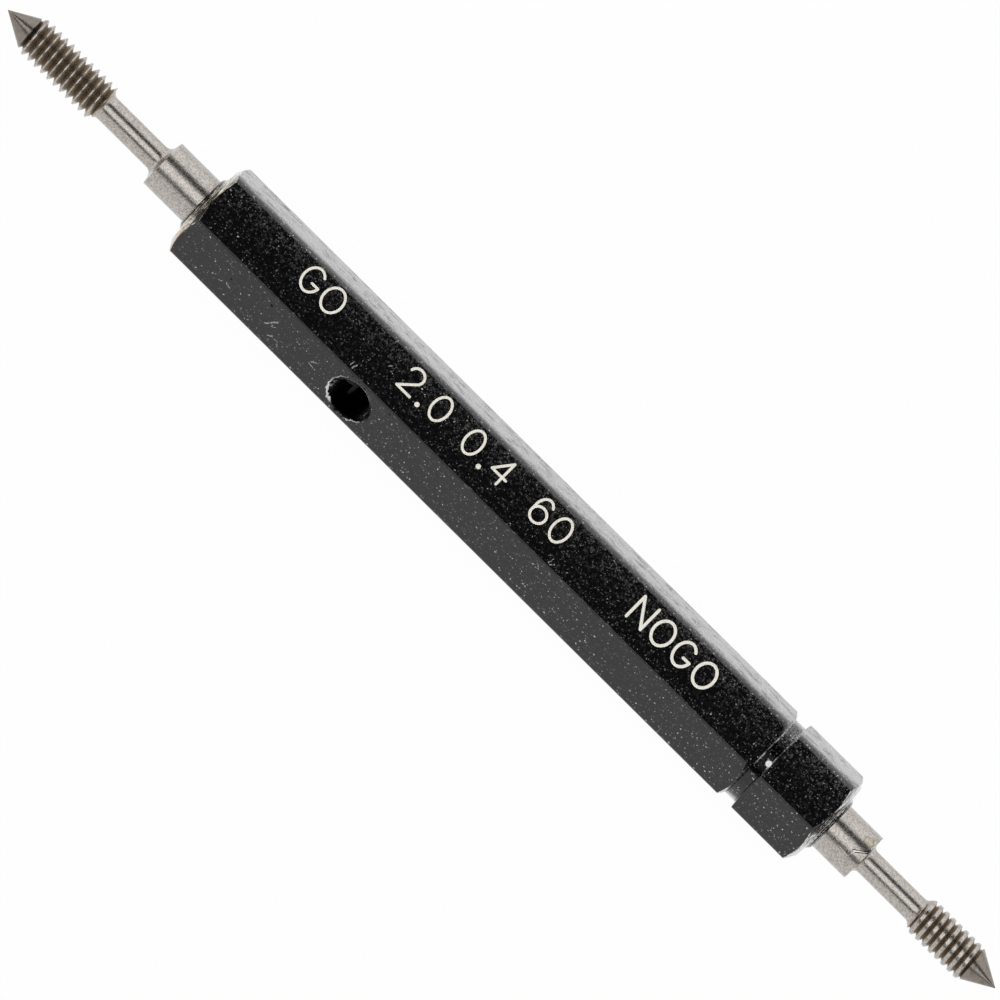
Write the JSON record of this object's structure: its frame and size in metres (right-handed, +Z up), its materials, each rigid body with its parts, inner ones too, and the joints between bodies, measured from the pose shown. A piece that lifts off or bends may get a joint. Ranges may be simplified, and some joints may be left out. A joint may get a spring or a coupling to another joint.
{
  "type": "thread plug gauge",
  "caption": "Double-ended thread plug gauge: a black hexagonal handle with a threaded go member in one end and a threaded no-go member in the other.",
  "frame": {"origin": "on the resting flat, under the middle of the gauge's whole length", "axes": "+X along the gauge towards the no-go point, +Z up out of the flat that faces up, +Y across the handle"},
  "size_m": [0.063, 0.0054, 0.0047],
  "materials": {
    "blackened_bar": "chemically blackened steel bar, semi-gloss, finely pitted, with bright worn edges",
    "gauge_steel": "hardened steel, turned and ground, with fine marks round the axis"
  },
  "bodies": {
    "root": {"hex_handle": "blackened_bar", "go_member": "gauge_steel", "nogo_member": "gauge_steel"}
  },
  "joints": []
}
